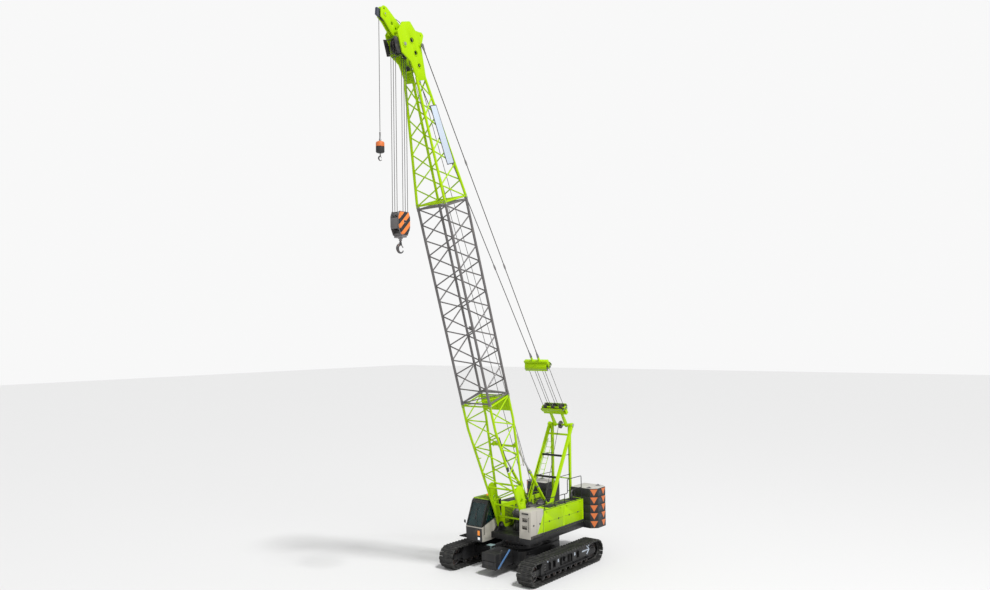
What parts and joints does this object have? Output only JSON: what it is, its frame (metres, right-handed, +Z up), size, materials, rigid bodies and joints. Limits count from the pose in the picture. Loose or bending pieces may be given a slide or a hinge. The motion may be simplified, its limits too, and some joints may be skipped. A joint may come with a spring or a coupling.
{
  "type": "lattice-boom crawler crane",
  "caption": "Lattice-boom crawler crane with slewing upperworks, cab, gantry, winch drums, counterweight, hook block and auxiliary line on extendable crawlers.",
  "frame": {"origin": "on the ground under the middle of the machine's box, with the boom raised 72 degrees", "axes": "+X forward, the way the boom leans, +Y the machine's left, +Z up"},
  "size_m": [13.6721, 5.22, 23.9396],
  "materials": {
    "green_paint": "gloss enamel",
    "grey_paint": "satin enamel",
    "boom_grey": "satin enamel",
    "dark_paint": "satin enamel",
    "slab_paint": "satin enamel on cast slabs",
    "track_steel": "rough cast",
    "bare_steel": "worn steel",
    "wire_rope": "greased wire",
    "orange_paint": "satin enamel",
    "cab_glass": "tinted",
    "seat_vinyl": "matt vinyl"
  },
  "bodies": {
    "undercarriage": {"carbody": "dark_paint", "slew_ring": "dark_paint", "carbody_weight_front": "dark_paint", "carbody_weight_rear": "dark_paint"},
    "left_crawler": {"left_track_frame": "dark_paint", "left_track": "track_steel", "left_sprocket": "track_steel", "left_idler": "track_steel"},
    "right_crawler": {"right_track_frame": "dark_paint", "right_track": "track_steel", "right_sprocket": "track_steel", "right_idler": "track_steel"},
    "upperworks": {"revolving_frame": "dark_paint", "left_housing": "green_paint", "left_front_cover": "grey_paint", "right_housing": "green_paint", "engine": "bare_steel", "counterweight_tray": "slab_paint", "counterweight_left": "slab_paint", "counterweight_right": "slab_paint", "gantry_front_legs": "green_paint", "gantry_rear_legs": "green_paint", "left_handrail": "dark_paint", "right_walkway": "dark_paint", "cab_shell": "grey_paint", "cab_windshield": "cab_glass", "cab_side_window": "cab_glass", "operator_seat": "seat_vinyl"},
    "main_drum": {"main_drum": "bare_steel"},
    "aux_drum": {"aux_drum": "bare_steel"},
    "luffing_drum": {"luffing_drum": "bare_steel"},
    "cab_door": {"cab_door": "grey_paint", "cab_door_window": "cab_glass"},
    "left_door_front": {"left_door_front": "green_paint"},
    "left_door_rear": {"left_door_rear": "green_paint"},
    "right_door": {"right_door": "green_paint"},
    "boom": {"boom_foot": "green_paint", "boom_middle": "boom_grey", "boom_top": "green_paint", "boom_tip": "green_paint"},
    "head_sheaves": {"head_sheaves": "bare_steel"},
    "tip_sheave": {"tip_sheave": "bare_steel"},
    "backstop_barrels": {"backstop_barrel_left": "green_paint", "backstop_barrel_right": "green_paint"},
    "backstop_rods": {"backstop_rod_left": "bare_steel", "backstop_rod_right": "bare_steel"},
    "gantry_block": {"gantry_block": "green_paint", "luffing_rope": "wire_rope"},
    "gantry_sheaves": {"gantry_sheaves": "bare_steel"},
    "bridle": {"bridle": "green_paint", "pendant_left": "bare_steel", "pendant_right": "bare_steel"},
    "bridle_sheaves": {"bridle_sheaves": "bare_steel"},
    "main_falls": {"main_hoist_rope": "wire_rope"},
    "hook_block": {"hook_block": "grey_paint"},
    "block_sheaves": {"block_sheaves": "bare_steel"},
    "main_hook": {"main_hook": "dark_paint"},
    "aux_fall": {"aux_hoist_rope": "wire_rope"},
    "aux_weight": {"aux_weight": "orange_paint"},
    "aux_hook": {"aux_hook": "dark_paint"}
  },
  "joints": [
    {"name": "left_crawler_extension", "type": "slide", "parent": "undercarriage", "child": "left_crawler", "axis": [0, 1, 0], "range_m": [-0.72, 0]},
    {"name": "right_crawler_extension", "type": "slide", "parent": "undercarriage", "child": "right_crawler", "axis": [0, -1, 0], "range_m": [-0.72, 0]},
    {"name": "slew", "type": "hinge", "parent": "undercarriage", "child": "upperworks", "pos_m": [-2.416, 0, 1.39], "axis": [0, 0, 1], "continuous": true},
    {"name": "main_drum_spin", "type": "hinge", "parent": "upperworks", "child": "main_drum", "pos_m": [-2.716, 0, 2.28], "axis": [0, 1, 0], "continuous": true},
    {"name": "aux_drum_spin", "type": "hinge", "parent": "upperworks", "child": "aux_drum", "pos_m": [-3.636, 0, 2.28], "axis": [0, 1, 0], "continuous": true},
    {"name": "luffing_drum_spin", "type": "hinge", "parent": "upperworks", "child": "luffing_drum", "pos_m": [-4.556, 0, 2.28], "axis": [0, 1, 0], "continuous": true},
    {"name": "cab_door_hinge", "type": "hinge", "parent": "upperworks", "child": "cab_door", "pos_m": [-1.808, -1.8665, 2.2], "axis": [0, 0, -1], "range_deg": [0, 95]},
    {"name": "left_door_front_hinge", "type": "hinge", "parent": "upperworks", "child": "left_door_front", "pos_m": [-2.916, 1.5165, 2.712], "axis": [1, 0, 0], "range_deg": [0, 80]},
    {"name": "left_door_rear_hinge", "type": "hinge", "parent": "upperworks", "child": "left_door_rear", "pos_m": [-4.616, 1.5165, 2.712], "axis": [1, 0, 0], "range_deg": [0, 80]},
    {"name": "right_door_hinge", "type": "hinge", "parent": "upperworks", "child": "right_door", "pos_m": [-3.816, -1.5165, 2.712], "axis": [-1, 0, 0], "range_deg": [0, 80]},
    {"name": "boom_luff", "type": "hinge", "parent": "upperworks", "child": "boom", "pos_m": [-1.716, 0, 1.905], "axis": [0, -1, 0], "range_deg": [-42, 8]},
    {"name": "head_sheaves_spin", "type": "hinge", "parent": "boom", "child": "head_sheaves", "pos_m": [5.5869, 0, 22.6012], "axis": [0, 1, 0], "continuous": true},
    {"name": "tip_sheave_spin", "type": "hinge", "parent": "boom", "child": "tip_sheave", "pos_m": [6.4361, 0, 23.6291], "axis": [0, 1, 0], "continuous": true},
    {"name": "backstop_swing", "type": "hinge", "parent": "upperworks", "child": "backstop_barrels", "pos_m": [-3.766, 0, 2.65], "axis": [0, -1, 0], "range_deg": [-32, 6.2]},
    {"name": "backstop_slide", "type": "slide", "parent": "backstop_barrels", "child": "backstop_rods", "axis": [0.6171, 0, 0.7869], "range_m": [-0.26, 1.34]},
    {"name": "gantry_block_swing", "type": "hinge", "parent": "upperworks", "child": "gantry_block", "pos_m": [-5.896, 0, 6.28], "axis": [0, -1, 0], "range_deg": [-41.5, 8]},
    {"name": "gantry_sheaves_spin", "type": "hinge", "parent": "gantry_block", "child": "gantry_sheaves", "pos_m": [-5.3096, 0, 7.1988], "axis": [0, 1, 0], "continuous": true},
    {"name": "bridle_travel", "type": "slide", "parent": "gantry_block", "child": "bridle", "axis": [0.538, 0, 0.843], "range_m": [-0.82, 4.25], "deforming": ["luffing_rope"]},
    {"name": "bridle_sheaves_spin", "type": "hinge", "parent": "bridle", "child": "bridle_sheaves", "pos_m": [-3.9646, 0, 9.3062], "axis": [0, 1, 0], "continuous": true},
    {"name": "main_fall_plumb", "type": "hinge", "parent": "boom", "child": "main_falls", "pos_m": [5.5869, 0, 22.6012], "axis": [0, -1, 0], "range_deg": [-8, 42]},
    {"name": "main_hoist", "type": "slide", "parent": "main_falls", "child": "hook_block", "axis": [0, 0, -1], "range_m": [-4, 12.5], "deforming": ["main_hoist_rope"]},
    {"name": "block_sheaves_spin", "type": "hinge", "parent": "hook_block", "child": "block_sheaves", "pos_m": [5.5869, 0, 15.45], "axis": [0, 1, 0], "continuous": true},
    {"name": "main_hook_swivel", "type": "hinge", "parent": "hook_block", "child": "main_hook", "pos_m": [5.5869, 0, 14.77], "axis": [0, 0, 1], "continuous": true},
    {"name": "aux_fall_plumb", "type": "hinge", "parent": "boom", "child": "aux_fall", "pos_m": [6.4361, 0, 23.6291], "axis": [0, -1, 0], "range_deg": [-8, 42]},
    {"name": "aux_hoist", "type": "slide", "parent": "aux_fall", "child": "aux_weight", "axis": [0, 0, -1], "range_m": [-3.4, 16], "deforming": ["aux_hoist_rope"]},
    {"name": "aux_hook_swivel", "type": "hinge", "parent": "aux_weight", "child": "aux_hook", "pos_m": [6.6661, 0, 18.06], "axis": [0, 0, 1], "continuous": true}
  ],
  "couplings": [
    {"joint": "backstop_swing", "follows": "boom_luff", "ratio": 0.76},
    {"joint": "backstop_slide", "follows": "boom_luff", "m_per_rad": -1.825},
    {"joint": "gantry_block_swing", "follows": "boom_luff", "ratio": 0.985},
    {"joint": "bridle_travel", "follows": "boom_luff", "m_per_rad": -5.775},
    {"joint": "main_fall_plumb", "follows": "boom_luff", "ratio": -1},
    {"joint": "aux_fall_plumb", "follows": "boom_luff", "ratio": -1}
  ]
}
